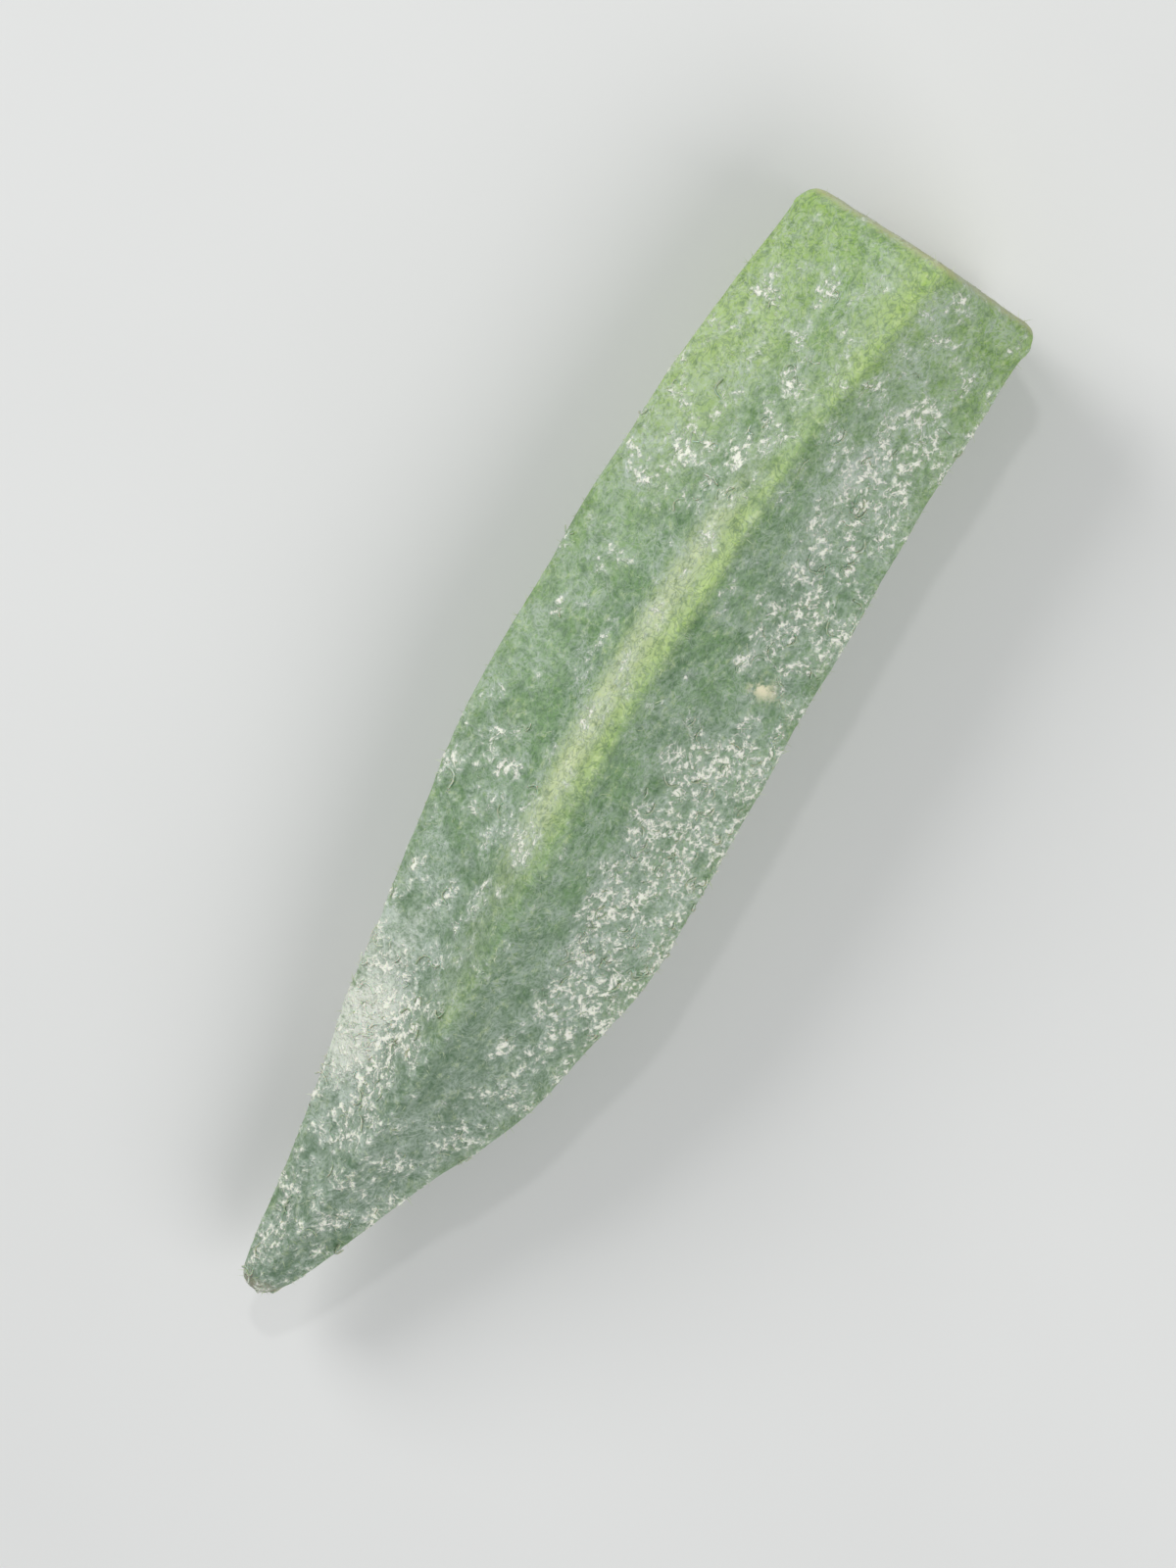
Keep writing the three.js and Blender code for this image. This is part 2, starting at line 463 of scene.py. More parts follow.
def skinMaterial(frostCover):
    look = skinLook
    material, tree, shader = newMaterial("okraSkin", look["gloss"])
    shader.inputs["Subsurface Radius"].default_value = look["lightReach"]
    place = placeInMm(tree)
    along, side, top, ridge, beside, frost, haze = (
        skinValue(tree, name) for name in ("along", "side", "top", "ridge", "beside", "frost", "haze")
    )
    fibre = noise(fibrePlace(side, top, along), look["fibreSize"], 3.0, 0.6)
    mottle = noise(place, look["mottleSize"], 3.0, 0.55)
    speckle = noise(place, look["speckleSize"], 3.0, 0.7)
    mottled = ramp(mottle * 0.6 + speckle * 0.4, *look["mottled"])
    base = wash(tint(tree, mottled, look["hollow"], look["face"]), look, [
        (showing(along + mottle * look["freshWanders"], *look["freshReach"]), "fresh"),
        # painted highlight along the left side, where the light falls
        (ramp(side, *look["paintedLightLeftEdge"]) * through(along, look["edgeShows"]), "edge"),
        (showing(along + mottle * look["tipWanders"], *look["tipReach"]), "tip"),
    ])

    # Beside the top ridge: a painted highlight to its left, partly pale haze, a painted shade strip to its
    # right, and the bright crest, the ridge's paler colour with a painted highlight on it
    uneven = ramp(noise(place, look["unevenSize"], 4.0, 0.65), *look["unevenEdge"])
    paleAndPaintedHighlight = strip(beside, *look["paintedHighlightStrip"]) * through(along, look["paintedHighlightShows"]) * (0.6 + uneven * 0.4)
    # painted shade: a darker strip right of the ridge, away from the light
    shaded = strip(beside, *look["shadeStrip"]) * through(along, look["shadeShows"])
    # the crest: the ridge's paler colour, brightened as a painted highlight
    crestPlace, crestWidth = look["crestStrip"]
    crest = strip(beside, crestPlace, crestWidth + showing(along, *look["crestWidens"]))
    crest = crest * through(along, look["ridgeShows"]) * (0.4 + uneven * 0.6)
    base = wash(base, look, [
        (calc("MINIMUM", paleAndPaintedHighlight, 1), "paleAndPaintedHighlight"),
        (shaded, "shade"),
        (calc("MINIMUM", crest, 1), "crest"),
        (ridge * showing(top, *look["lowerRidges"]), "ridge"),
    ])

    # Fibres, specks, the cut's dried and stained edge and the brown scar at the tip
    base = wash(base, look, [
        (showing(fibre, *look["fibres"]), "paleAndPaintedHighlight"),
        (showing(speckle, *look["paleSpecks"]), "paleAndPaintedHighlight"),
        (showing(speckle, *look["darkSpecks"]), "shade"),
        (thinCurls(place, look["curlSize"]) * look["darkCurls"], "shade"),
        (showing(along + (speckle - 0.5) * 0.8, *look["driedRim"]), "rim"),
        (ramp(along, *look["stainReach"]) * showing(speckle, *look["cutStains"]), "scar"),
        (showing(along + (mottle - 0.5) * 2, *look["tipScar"]), "scar"),
    ])

    # Frost over it all, thinner on the crest, with dark skin between the curls of ice, partly clear wet skin
    # and partly painted shade
    clearCrest = 1 - strip(beside, *look["clearStrip"]) * showing(along, *look["clearReach"])
    values = {"Frost": frost, "Haze": haze, "Clumps": look["clumps"], "Place": place}
    values["Veil"] = clearCrest * look["veil"]
    cover, ice = wearFrost(tree, frostCover, values)
    base = wash(base, look, [(frost * showing(ice, *look["iceGapsAndPaintedShade"]), "shade")])
    thickHaze = showing(haze + (mottle - 0.5) * 2, *look["hazeWhitens"])
    whiter = calc("MAXIMUM", ramp(ice, *look["whiteIceEdge"]), thickHaze)
    base = tint(tree, cover, base, tint(tree, whiter, look["greyIce"], look["whiteIce"]))
    spotPlace, spotLength, spotAcross, spotWidth = look["creamSpot"]
    spot = strip(along, spotPlace, spotLength) * strip(side, spotAcross, spotWidth)
    base = wash(base, look, [(spot * ramp(speckle, *look["spotBreaks"]), "cream")])
    height = fibre * 0.15 + speckle * 0.25 + ice
    plugLook(shader, base, 0.45 + cover * 0.3, height, look["relief"])
    return material


fleshLook = {
    "flesh": colour(170, 184, 120),
    "pale": colour(208, 212, 166),
    "chamber": colour(128, 154, 84),
    "edge": colour(148, 168, 78),
    "spot": colour(146, 112, 62),
    "ice": colour(224, 229, 220),
    "gloss": {"Specular IOR Level": 0.5, "Subsurface Weight": 0.2, "Subsurface Scale": 0.002},
    "lightReach": (0.9, 1.0, 0.5),
    "frost": {"Haze": 0.5, "Veil": 0.3, "Clumps": 0.6},
    "spokePlace": (6, 1.4),  # radius and squeeze
    "spokeSize": 0.5,
    # sizes in mm
    "mottleSize": 1.1,
    "spotSize": 0.9,
    "relief": 0.06,
    # by the share of the way out to the skin: middle and half width, or where the spokes start and are full
    "chamberRing": (0.46, 0.15),
    "edgeRing": (0.76, 0.03),
    "spokeReach": (0.3, 0.8),
    # where a pattern starts, where it is full, and how much shows then
    "mottled": (0.35, 0.65),
    "paleMiddle": (0.45, 0.1, 0.6),
    "spokes": (0.5, 0.7, 0.5),
    "chambers": (0.2, 0.45, 0.5),
    "edgeShows": (0.4, 0.6, 0.3),
    "outerEdge": (0.86, 0.98),
    "outerEdgeShows": 0.7,
    "spots": (0.56, 0.66),
}


def fleshMaterial(frostCover):
    look = fleshLook
    material, tree, shader = newMaterial("okraFlesh", look["gloss"])
    shader.inputs["Subsurface Radius"].default_value = look["lightReach"]
    place = placeInMm(tree)
    radial, side, top, share = (skinValue(tree, name) for name in ("radial", "side", "top", "share"))
    spokes = noise(fibrePlace(side, top, radial, *look["spokePlace"]), look["spokeSize"], 2.0)
    mottle = noise(place, look["mottleSize"], 3.0, 0.6)

    # The five seed chambers just under the cut show through, each towards its ridge
    fromFaceMiddle = calc("ABSOLUTE", share - 0.5) + (mottle - 0.5) * 0.3
    outerEdge = ramp(radial + (mottle - 0.5) * 0.1, *look["outerEdge"])
    base = wash(tint(tree, ramp(mottle, *look["mottled"]), look["flesh"], look["pale"]), look, [
        (showing(radial, *look["paleMiddle"]), "pale"),
        (showing(spokes, *look["spokes"]) * ramp(radial, *look["spokeReach"]), "flesh"),
        (strip(radial, *look["chamberRing"]) * showing(fromFaceMiddle, *look["chambers"]), "chamber"),
        (strip(radial, *look["edgeRing"]) * showing(spokes, *look["edgeShows"]), "edge"),
        (outerEdge * look["outerEdgeShows"], "edge"),
        (outerEdge * ramp(noise(place, look["spotSize"]), *look["spots"]), "spot"),
    ])
    values = {"Frost": skinValue(tree, "frost"), "Place": place, **look["frost"]}
    cover, ice = wearFrost(tree, frostCover, values)
    base = wash(base, look, [(cover, "ice")])
    plugLook(shader, base, 0.42 + cover * 0.3, mottle + spokes * 0.6 + ice, look["relief"])
    return material


iceLook = {
    "clear": colour(158, 178, 150),
    "white": colour(212, 216, 201),
    "gloss": {"Roughness": 0.3, "Subsurface Weight": 0.3, "Subsurface Scale": 0.0004},
    "mottleSize": 0.9,
    "whiteEdge": (0.48, 0.74),
    "hazeWhitens": (0.8, 1.8, 0.85),
}


def iceMaterial():
    look = iceLook
    material, tree, shader = newMaterial("frostIce", look["gloss"])
    shade = ramp(noise(placeInMm(tree), look["mottleSize"], 3.0, 0.6), *look["whiteEdge"])
    thickHaze = showing(skinValue(tree, "haze"), *look["hazeWhitens"])
    shade = calc("MAXIMUM", shade, thickHaze)  # whiter where the haze is thick
    plug(tree, shader.inputs["Base Color"], tint(tree, shade, look["clear"], look["white"]))
    return material


hairLook = {
    "green": colour(160, 180, 120),
    "pale": colour(204, 212, 182),
    "gloss": {"Roughness": 0.5, "Sheen Weight": 0.3},
    "mottleSize": 1.5,
    "paleEdge": (0.35, 0.65),
}


def hairMaterial():
    look = hairLook
    material, tree, shader = newMaterial("podHair", look["gloss"])
    shade = ramp(noise(placeInMm(tree), look["mottleSize"]), *look["paleEdge"])
    plug(tree, shader.inputs["Base Color"], tint(tree, shade, look["green"], look["pale"]))
    return material


# The pod's skin and cut face, in millimetres and degrees. Down to the edge roll, these are the sizes that
# the pod's solid has.
podShape = {
    "length": 90.0,
    "cornerRadius": 11.4,
    "faceDistance": 9.16,
    "cornerSharpness": 14.0,
    "faceHollow": 0.72,
    "keelHeight": 0.5,
    "keelHalfAngle": 9.0,
    "spineHeight": 8.82,
    # from here on, stations are (mm from the cut end, value there)
    "thickness": [
        (0, 0.926), (6, 0.925), (12, 0.932), (20, 0.967), (28, 0.997), (36, 1), (46, 0.994), (51, 0.977),
        (55, 0.928), (61, 0.83), (67, 0.728), (71, 0.622), (75, 0.5), (79, 0.402), (83, 0.305),
        (86.5, 0.222), (88.6, 0.16), (89.6, 0.108), (90, 0.057),
    ],
    "sidewaysBend": [
        (0, 0.45), (12, 0.93), (22, 0.72), (38, 0.1), (48, -0.75), (57, -1.5), (67, -1.65), (76, -1.15),
        (90, 0.1),
    ],
    "upwardBend": [(0, 0.45), (8, 0.3), (18, 0.1), (30, 0), (55, -0.1), (75, -0.8), (90, -2.1)],
    "topRidgeWander": [
        (0, -7.5), (6, -7), (11, -4.5), (16, -2), (26, -0.5), (36, 1), (46, 2), (55, 3.3), (63, 2.5), (90, 3),
    ],
    # degrees, wavelength and phase
    "ridgeWander": [(2.2, 78, 0.6), (1.6, 95, 2.1), (1.8, 88, 3.9), (2.4, 70, 5.0)],
    "ridgeStrength": [1, 0.992, 1, 1.002, 0.988],
    # height, wavelength, waves round the pod and phase
    "swellings": [(0.09, 27, 2, 1.3), (0.055, 15.5, -3, 0.4), (0.035, 9.5, 5, 2.2)],
    "knifeLean": 4.0,
    "knifeReach": 11.0,
    "cutFaceTop": 9.5,
    "roundRadius": 10.7,
    "roundAtCut": (0.36, 9.0),  # share, and mm over which it fades
    "roundAtTip": (0.75, 3.2),
    "scarRing": (1.75, 0.45, 0.09),  # place, width and height
    "edgeRoll": (1.9, 1.4),  # length and inset
    # the grid that is bent into the skin
    "rings": 372,
    "pointsAround": 240,
    "faceShare": 0.065,  # share of the rings that lie in the cut face
    "tipShare": 0.016,
    "skinEdge": (0.9, 1),  # share of the way out where the skin starts, and where it is all skin
    "fleshEnds": 0.99,
    "fleshDepth": 0.01,
    "crowding": 0.45,  # how much closer its rings lie at the pod's ends, and its points at the ridges
    "mergeDistance": 0.002,
    # fine relief
    "seedSwelling": 0.05,
    "seedPitch": 4.7,
    "seedTurn": 2.1,  # radians from one row of seeds to the next
    "seedBand": 0.2,  # share of a face
    "seedsStart": (4, 14),
    "seedsEnd": (80, 64),
    "fibreHeight": 0.07,
    "fibreSize": 0.9,
    "frostThickness": 0.09,
    "frostCrumbSize": 0.5,
    "frostHeights": (0.6, 1.4),  # as shares of its thickness
    "cutUnevenness": 0.3,
    "cutLumpSize": 2.0,
    # for the looks: the radius that turns degrees beside the top ridge into mm, and a ridge's half width
    "besideRadius": 11,
    "ridgeHalfWidth": 6.2,
    "leastFrost": 0.05,
    "frostSides": (-0.12, 0.16),  # from right to left
    "frostRight": [(0, 0.35), (8, 0.5), (16, 0.6), (26, 0.6), (36, 0.7), (50, 0.75), (66, 0.6), (90, 0.6)],
    "frostLeft": [
        (0, 0.3), (8, 0.35), (20, 0.5), (27, 0.3), (40, 0.25), (48, 0.4), (58, 0.4), (70, 0.5), (90, 0.6),
    ],
    # more or less frost here and there: mm from the cut end, where across (1 left, -1 right), how far it
    # reaches each way, and how much
    "frostPatches": [
        (34, 0.2, 9, 0.1, 0.25), (20, 0.4, 6, 0.2, 0.15), (11, 0.3, 5, 0.2, 0.05), (46, 0.8, 4, 0.15, 0.2),
        (51, 0.5, 5, 0.2, 0.15), (68, 0.7, 6, 0.35, 0.7), (17, -0.6, 6, 0.25, 0.35),
        (42, -0.7, 7, 0.25, 0.15), (54, -0.6, 6, 0.3, 0.15), (27, -0.65, 3, 0.25, 0.25),
        (33, -0.65, 2.4, 0.3, -0.45), (64, -0.2, 8, 0.2, -0.3),
    ],
    # thin haze, given in the same way, over a thinner one all round
    "haze": 0.3,
    "hazePatches": [
        (18, 0.6, 8, 0.4, 0.1), (18, -0.55, 7, 0.2, 1.0), (8, -0.6, 4, 0.2, 0.3), (6, 0, 8, 2, -0.1),
        (47, 0.4, 6, 0.4, 0.15), (57, 0.8, 6, 0.25, 0.6), (68, 0.85, 6.5, 0.26, 2.1), (76, 0, 6, 1, 0.3),
        (45, -0.7, 14, 0.35, 0.3), (36, 0.95, 12, 0.15, 0.35),
        (34, -0.25, 16, 0.12, 0.35), (65, -0.3, 9, 0.25, 0.4), (4, -0.3, 6, 0.4, 0.45),
    ],
    # right of the top ridge frost is missing: mm from the ridge, mm it reaches, share that is missing
    "bareBand": (2.8, 2.4, 0.75),
    "bareBandStart": (10, 22),
    "bareBandEnd": (80, 62),
    # and on the crest: half width, mm from the cut end where it ends and is full, and amount
    "crestHalfWidth": 0.9,
    "bareCrest": (66, 54, 0.25),
}


def sinOfDegrees(turn):
    return calc("SINE", calc("RADIANS", turn))


def pick(index, values):  # the value with that number
    made = addNode(index.tree, "GeometryNodeIndexSwitch", data_type="FLOAT")
    while len(made.index_switch_items) < len(values):
        made.index_switch_items.new()
    plug(index.tree, made.inputs["Index"], index)
    for number, value in enumerate(values):
        plug(index.tree, made.inputs[1 + number], value)
    return Field(made.outputs[0])


# More or less of a value here and there on the skin
def patched(value, patches, along, side):
    for place, across, reachAlong, reachAcross, amount in patches:
        value = value + amount * bell(along - place, reachAlong) * bell(side - across, reachAcross)
    return value


# How frosty the skin is, from mm along the pod, the way round it and mm beside the top ridge
def frostShare(along, side, beside):
    size = podShape
    right, left = through(along, size["frostRight"]), through(along, size["frostLeft"])
    frost = patched(blend(ramp(side, *size["frostSides"]), right, left), size["frostPatches"], along, side)
    bandPlace, bandReach, bandAmount = size["bareBand"]
    band = bell(beside + bandPlace, bandReach) * ramp(along, *size["bareBandStart"])
    band = band * ramp(along, *size["bareBandEnd"])
    crest = bell(beside, size["crestHalfWidth"]) * showing(along, *size["bareCrest"])
    return calc("MAXIMUM", frost * (1 - band * bandAmount) - crest, size["leastFrost"])


def podTree(skin, flesh):
    size = podShape
    tree, given = geometryTree("podBody", {
        "Rings": size["rings"], "Points Around": size["pointsAround"], "Length": size["length"],
        "Corner Radius": size["cornerRadius"], "Face Distance": size["faceDistance"],
        "Face Hollow": size["faceHollow"], "Keel Height": size["keelHeight"],
        "Spine Height": size["spineHeight"], "Seed Swelling": size["seedSwelling"],
        "Frost Thickness": size["frostThickness"], "Skin": skin, "Flesh": flesh,
    })
    inputs = {
        "Size X": 1.0, "Size Y": 1.0, "Vertices X": given["Rings"], "Vertices Y": given["Points Around"],
    }
    grid = addNode(tree, "GeometryNodeMeshGrid", inputs).outputs["Mesh"]
    here = Field(addNode(tree, "GeometryNodeInputPosition").outputs[0])
    lengthwise, around, _ = parts(here)
    ridges = len(size["ridgeStrength"])
    sectorAngle = 360 / ridges
    crowding = size["crowding"] / math.tau
    row = lengthwise + 0.5
    turn = (around + 0.5) * ridges

    # Rows run from the middle of the cut face, over its edge and along the pod, to the middle of the tip
    skinShare = 1 - size["faceShare"] - size["tipShare"]
    way = calc("MINIMUM", calc("MAXIMUM", (row - size["faceShare"]) / skinShare, 0), 1)
    along = (way - sinOfDegrees(way * 360) * crowding) * given["Length"]
    radial = calc("MINIMUM", calc("MINIMUM", row / size["faceShare"], (1 - row) / size["tipShare"]), 1)

    # Five sectors from ridge to ridge, with points closer together at the ridges
    sector = calc("MINIMUM", calc("FLOOR", turn), ridges - 1)
    nextRidge = calc("MODULO", sector + 1, ridges)
    step = turn - sector
    share = step - sinOfDegrees(step * 360) * crowding
    wander = [through(along, size["topRidgeWander"])]
    for degrees, wavelength, phase in size["ridgeWander"]:
        wander.append(calc("SINE", along * (math.tau / wavelength) + phase) * degrees)
    angle = (sector + share) * sectorAngle + blend(share, pick(sector, wander), pick(nextRidge, wander))
    side = sinOfDegrees(angle)
    top = sinOfDegrees(angle + 90)

    # The five-sided section, as flat faces and sharp corners rounded into each other
    fromMiddle = (share - 0.5) * sectorAngle
    flatFace = given["Face Distance"] / sinOfDegrees(fromMiddle + 90)
    sharpness = size["cornerSharpness"]
    five = (flatFace ** -sharpness + given["Corner Radius"] ** -sharpness) ** (-1 / sharpness)
    five = five - given["Face Hollow"] * sinOfDegrees(share * 180) ** 2
    nearRidge = calc("MINIMUM", share, 1 - share) * sectorAngle
    keel = given["Keel Height"] * bell(nearRidge, size["keelHalfAngle"])
    strengths = size["ridgeStrength"]
    strong = blend(share, pick(sector, strengths), pick(nextRidge, strengths))
    atCut, cutFade = size["roundAtCut"]
    atTip, tipFade = size["roundAtTip"]
    roundness = atCut * bell(along, cutFade) + atTip * bell(given["Length"] - along, tipFade)
    thickness = through(along, size["thickness"])
    radius = ((five + keel) * strong * (1 - roundness) + size["roundRadius"] * roundness) * thickness
    for height, wavelength, waves, phase in size["swellings"]:
        swell = along * (math.tau / wavelength) + calc("RADIANS", angle) * waves + phase
        radius = radius + height * calc("SINE", swell) * thickness

    # The rolled edge of the cut and the low ring behind it
    rollLength, rollInset = size["edgeRoll"]
    left = calc("MAXIMUM", 1 - along / rollLength, 0)
    ringPlace, ringWidth, ringHeight = size["scarRing"]
    rolled = rollInset * (1 - calc("SQRT", 1 - left * left))
    radius = radius - rolled + ringHeight * bell(along - ringPlace, ringWidth)

    # Out from the bent spine, with the cut face leaning as the knife left it
    sideways = radius * radial * side
    upwards = radius * radial * top
    leanHere = calc("MAXIMUM", 1 - along / size["knifeReach"], 0) ** 2
    lean = math.tan(math.radians(size["knifeLean"])) * leanHere
    x = given["Length"] / 2 - along - lean * (size["cutFaceTop"] - upwards)
    y = through(along, size["sidewaysBend"]) + sideways
    z = given["Spine Height"] + through(along, size["upwardBend"]) + upwards

    # What the materials and the frost read later on
    ridgeLine = bell(nearRidge * thickness, size["ridgeHalfWidth"])
    signedAngle = angle - calc("GREATER_THAN", angle, 180) * 360
    beside = (signedAngle - wander[0]) * thickness * math.radians(size["besideRadius"])
    kept = {
        "along": along, "side": side, "top": top, "radial": radial, "ridge": ridgeLine, "beside": beside,
        "frost": frostShare(along, side, beside), "share": share,
        "haze": patched(size["haze"], size["hazePatches"], along, side),
        "seedRow": calc("SINE", along * (math.tau / size["seedPitch"]) + sector * size["seedTurn"]),
    }
    geometry = grid
    for name, value in kept.items():
        geometry = keepValue(geometry, name, value)
    inputs = {"Geometry": geometry, "Position": scaled(vector(tree, x, y, z), mm)}
    geometry = addNode(tree, "GeometryNodeSetPosition", inputs).outputs[0]
    inputs = {"Geometry": geometry, "Distance": size["mergeDistance"] * mm}
    geometry = addNode(tree, "GeometryNodeMergeByDistance", inputs).outputs[0]
    geometry = addNode(tree, "GeometryNodeFlipFaces", {"Mesh": geometry}).outputs[0]  # to face outwards
    geometry = addRelief(tree, given, geometry)
    shade = addNode(tree, "GeometryNodeSetShadeSmooth", {"Geometry": geometry, "Shade Smooth": True})
    atCutFace = calc("LESS_THAN", keptValue(tree, "along"), size["fleshDepth"])
    inside = calc("LESS_THAN", keptValue(tree, "radial"), size["fleshEnds"])
    finishTree(tree, shade.outputs[0], given["Skin"], atCutFace * inside, given["Flesh"])
    return tree


# Fine relief: seeds pushing out in rows, low fibres, and ice standing on the skin
def addRelief(tree, given, geometry):
    size = podShape
    place = scaled(Field(addNode(tree, "GeometryNodeInputPosition").outputs[0]), 1 / mm)
    along, side, top, share, radial, frost, seedRow = (
        keptValue(tree, name) for name in ("along", "side", "top", "share", "radial", "frost", "seedRow")
    )
    onSkin = ramp(radial, *size["skinEdge"])
    seeds = seedRow * bell(share - 0.5, size["seedBand"]) * ramp(along, *size["seedsStart"])
    seeds = seeds * ramp(along, *size["seedsEnd"])
    fibres = noise(fibrePlace(side, top, along), size["fibreSize"], 2.0) - 0.5
    ice = icePattern(place, frost) * blend(noise(place, size["frostCrumbSize"]), *size["frostHeights"])
    height = onSkin * (given["Seed Swelling"] * seeds + fibres * size["fibreHeight"])
    height = height + given["Frost Thickness"] * ice
    lumps = noise(place, size["cutLumpSize"], 2.0) - 0.5
    height = height + (1 - onSkin) * lumps * size["cutUnevenness"]
    normal = Field(addNode(tree, "GeometryNodeInputNormal").outputs[0])
    inputs = {"Geometry": geometry, "Offset": scaled(normal, height * mm)}
    geometry = addNode(tree, "GeometryNodeSetPosition", inputs).outputs[0]
    x, y, z = parts(Field(addNode(tree, "GeometryNodeInputPosition").outputs[0]))
    pressed = vector(tree, x, y, calc("MAXIMUM", z, 0))  # flat where the two lower ridges lie on the table
    inputs = {"Geometry": geometry, "Position": pressed}
    return addNode(tree, "GeometryNodeSetPosition", inputs).outputs[0]


# How small things are scattered on the skin, all by the same kind of tree
scattering = {
    "clearance": 0.7,  # mm over the table; there are none lower down
    "chances": (0.15, 0.85),
    "leastStretch": (0.7, 0.7, 0.6),
    "mostStretch": (1.25, 1.25, 1.1),
}
drawSeeds = {"chance": 5, "spin": 11, "size": 17, "stretch": 23}
tilts = {"grain": (0.0, 3.1), "thread": (-0.2, 0.2), "hair": (-0.8, 0.8)}  # radians


def scatterTree(name, sockets, density, makeThing, tilt, keepWhere=None):
    tree, given = geometryTree(name, sockets)
    inputs = {
        "Mesh": given["Geometry"], "Density": density(tree, given) / mm ** 2, "Seed": given["Seed"],
    }
    scatter = addNode(tree, "GeometryNodeDistributePointsOnFaces", inputs)
    place = scaled(Field(addNode(tree, "GeometryNodeInputPosition").outputs[0]), 1 / mm)
    gone = calc("LESS_THAN", parts(place)[2], scattering["clearance"])
    if keepWhere:
        gone = calc("MAXIMUM", gone, 1 - keepWhere(tree, place))
    chance = randomBetween(tree, *scattering["chances"], drawSeeds["chance"])
    inputs = {"Geometry": scatter.outputs["Points"], "Selection": calc("GREATER_THAN", gone, chance)}
    points = addNode(tree, "GeometryNodeDeleteGeometry", inputs, domain="POINT").outputs[0]
    least, most = tilt
    spin = randomBetween(tree, (least, least, 0.0), (most, most, math.tau), drawSeeds["spin"])
    inputs = {"Rotation": scatter.outputs["Rotation"], "Rotate By": spin}
    turned = addNode(tree, "FunctionNodeRotateRotation", inputs, rotation_space="LOCAL").outputs[0]
    size = randomBetween(tree, given["Smallest"], given["Largest"], drawSeeds["size"])
    stretches = scattering["leastStretch"], scattering["mostStretch"]
    stretch = randomBetween(tree, *stretches, drawSeeds["stretch"])
    inputs = {
        "Points": points, "Instance": makeThing(tree, given), "Rotation": turned,
        "Scale": scaled(scaled(stretch, size), mm),
    }
    things = addNode(tree, "GeometryNodeInstanceOnPoints", inputs).outputs[0]
    finishTree(tree, things, given["Material"])
    return tree


def grain(tree, given):  # one ice crystal, eight faces
    inputs = {"Segments": 4, "Rings": 2, "Radius": 1.0}
    return addNode(tree, "GeometryNodeMeshUVSphere", inputs).outputs["Mesh"]


def needle(tree, given):  # a short bent thread of ice, lying flat
    inputs = {
        "Resolution": 4, "Start": (-0.5, 0.0, -0.02), "Middle": (0.1, 0.75, 0.1), "End": (0.5, -0.2, -0.02),
    }
    thread = addNode(tree, "GeometryNodeCurveQuadraticBezier", inputs).outputs[0]
    inputs = {"Resolution": 3, "Radius": given["Thread Thickness"]}
    profile = addNode(tree, "GeometryNodeCurvePrimitiveCircle", inputs).outputs["Curve"]
    inputs = {"Curve": thread, "Profile Curve": profile, "Fill Caps": True}
    return addNode(tree, "GeometryNodeCurveToMesh", inputs).outputs[0]


def hair(tree, given):  # one three-sided hair, standing up
    inputs = {"Vertices": 3, "Radius Top": 0.0, "Radius Bottom": 0.035, "Depth": 1.0}
    return addNode(tree, "GeometryNodeMeshCone", inputs).outputs["Mesh"]


# What is left of the full number off the ice, on the cut face and between the ridges
fewer = {"offIce": 0.12, "onCutFace": 0.25, "betweenRidges": 0.25}


def onIce(tree, place):
    frost = keptValue(tree, "frost")
    return calc("MAXIMUM", icePattern(place, frost), frost * fewer["offIce"])


def overFrost(tree, given):
    onSkin = ramp(keptValue(tree, "radial"), *podShape["skinEdge"])
    return given["Per Square"] * keptValue(tree, "frost") * blend(onSkin, fewer["onCutFace"], 1)


def overSkin(tree, given):
    onSkin = ramp(keptValue(tree, "radial"), 0.97, 1)
    return given["Per Square"] * onSkin * (fewer["betweenRidges"] + keptValue(tree, "ridge"))


# How many there are on each square millimetre, and their size in mm
iceGrains = {"Per Square": 12.0, "Smallest": 0.03, "Largest": 0.09, "Seed": 3}
iceThreads = {"Per Square": 1.3, "Smallest": 0.5, "Largest": 1.4, "Thread Thickness": 0.07, "Seed": 8}
podHairs = {"Per Square": 1.1, "Smallest": 0.35, "Largest": 0.8, "Seed": 14}


# The table and the light

floorLook = {
    "width": 4.0,
    "paint": colour(214, 214, 212),
    "darker": 0.97,
    "mottleSize": 60.0,
    "mottleEdge": (0.3, 0.7),
    "gloss": {"Roughness": 0.7},
}


def floorMaterial():
    look = floorLook
    material, tree, shader = newMaterial("paleFloor", look["gloss"])
    shade = ramp(noise(placeInMm(tree), look["mottleSize"], 3.0), *look["mottleEdge"])
    darker = tuple(look["darker"] * part for part in look["paint"])
    plug(tree, shader.inputs["Base Color"], tint(tree, shade, look["paint"], darker))
    return material


def makeFloor():
    half = floorLook["width"] / 2
    mesh = bpy.data.meshes.new("floor")
    corners = [(-half, -half, 0), (half, -half, 0), (half, half, 0), (-half, half, 0)]
    mesh.from_pydata(corners, [], [(0, 1, 2, 3)])
    floor = bpy.data.objects.new("floor", mesh)
    mesh.materials.append(floorMaterial())
    bpy.context.scene.collection.objects.link(floor)


lamps = {
    # name: (direction from the pod, distance, size, watts)
    "softKey": ((0.25, 1.0, 0.75), 0.6, 0.3, 1.9),
    "fill": ((-0.1, -0.9, 1.0), 0.7, 0.6, 2.3),
    "glint": ((0.5, 0.3, 1.0), 0.6, 0.04, 0.35),
}
skyGlow = {"paint": (0.94, 0.97, 1.0, 1), "strength": 0.46}


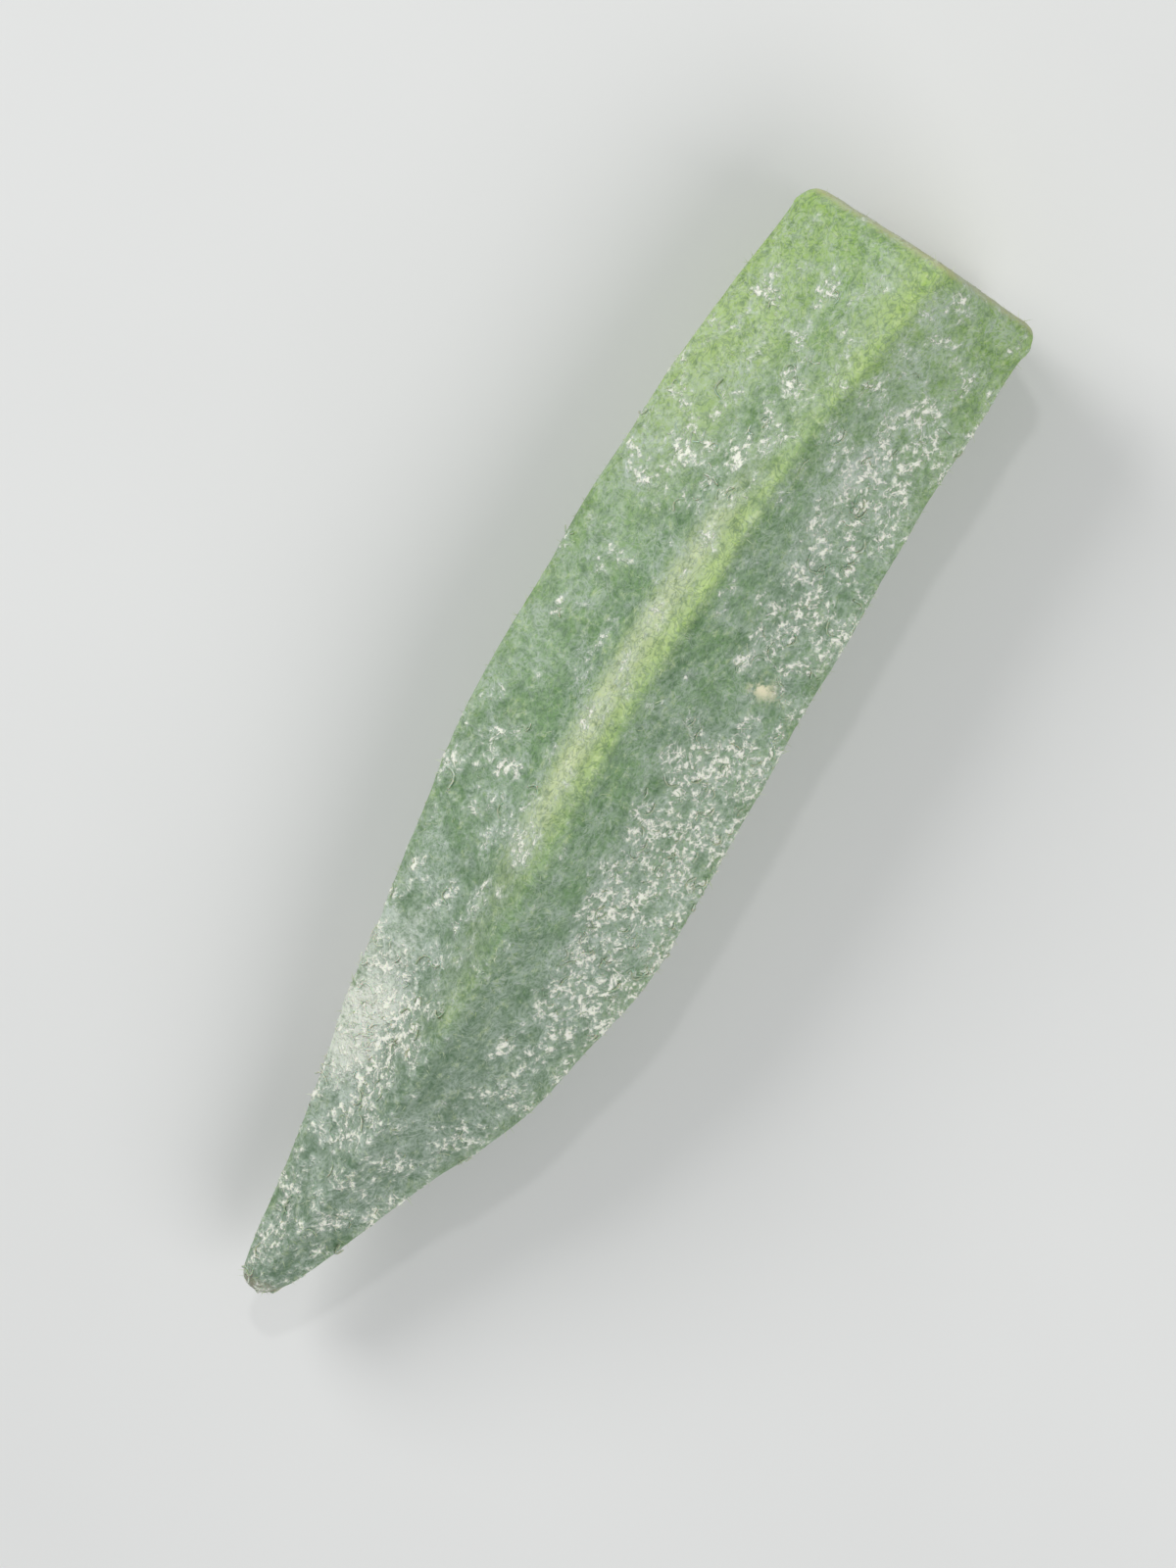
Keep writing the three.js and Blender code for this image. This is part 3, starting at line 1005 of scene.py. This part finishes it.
def makeLight(middle):
    for name, (direction, distance, size, watts) in lamps.items():
        lamp = bpy.data.lights.new(name, "AREA")
        lamp.shape = "DISK"
        lamp.size = size
        lamp.energy = watts
        holder = bpy.data.objects.new(name, lamp)
        holder.location = middle + Vector(direction).normalized() * distance
        holder.rotation_euler = Vector(direction).to_track_quat("Z", "Y").to_euler()
        bpy.context.scene.collection.objects.link(holder)
    world = bpy.data.worlds.new("sky")
    world.use_nodes = True
    glow = world.node_tree.nodes["Background"]
    glow.inputs["Color"].default_value = skyGlow["paint"]
    glow.inputs["Strength"].default_value = skyGlow["strength"]
    bpy.context.scene.world = world
    bpy.context.scene.view_settings.view_transform = "Standard"


# The camera looks down on the pod, a little from its cut end, with the cut end up and to the right
cameraView = {
    "elevation": 82.0,
    "distance": 0.42,
    "podTurn": 56.6,  # degrees from the picture's level line up to the pod's line from tip to cut end
    "frameHeight": 0.112,
    "sensor": 36.0,
    "nearest": 0.01,
}


def makeCamera(middle):
    lift = math.radians(cameraView["elevation"])
    back = Vector((math.cos(lift), 0, math.sin(lift)))
    podLine = (Vector((1, 0, 0)) - back * back.x).normalized()
    podSide = back.cross(podLine)
    turn = math.radians(cameraView["podTurn"])
    rightward = podLine * math.cos(turn) - podSide * math.sin(turn)
    upward = podLine * math.sin(turn) + podSide * math.cos(turn)
    camera = bpy.data.cameras.new("camera")
    camera.sensor_width = cameraView["sensor"]
    camera.lens = cameraView["sensor"] * cameraView["distance"] / cameraView["frameHeight"]
    camera.clip_start = cameraView["nearest"]
    holder = bpy.data.objects.new("camera", camera)
    turned = Matrix((rightward, upward, back)).transposed().to_4x4()
    holder.matrix_world = Matrix.Translation(middle + back * cameraView["distance"]) @ turned
    bpy.context.scene.collection.objects.link(holder)
    bpy.context.scene.camera = holder


podLow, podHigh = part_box("pod")
podMiddle = (podLow + podHigh) / 2
makeFloor()
makeLight(podMiddle)
makeCamera(podMiddle)
print("stage: floor, light and camera made")

frostCover = frostGroup()
skin, flesh = skinMaterial(frostCover), fleshMaterial(frostCover)
ice, hairPaint = iceMaterial(), hairMaterial()
print("stage: materials made")

podSkin = growPiece("podSkin", podTree(skin, flesh))
grains = scatterTree("iceGrains", {**iceGrains, "Material": ice}, overFrost, grain, tilts["grain"], onIce)
frostGrains = growPiece("frostGrains", grains, podSkin)
needles = {**iceThreads, "Material": ice}
threads = scatterTree("iceThreads", needles, overFrost, needle, tilts["thread"], onIce)
frostThreads = growPiece("frostThreads", threads, podSkin)
hairs = scatterTree("podHairs", {**podHairs, "Material": hairPaint}, overSkin, hair, tilts["hair"])
skinHairs = growPiece("skinHairs", hairs, podSkin)

settle(podSkin, ["pod"])
settle(frostGrains)
settle(frostThreads)
settle(skinHairs)
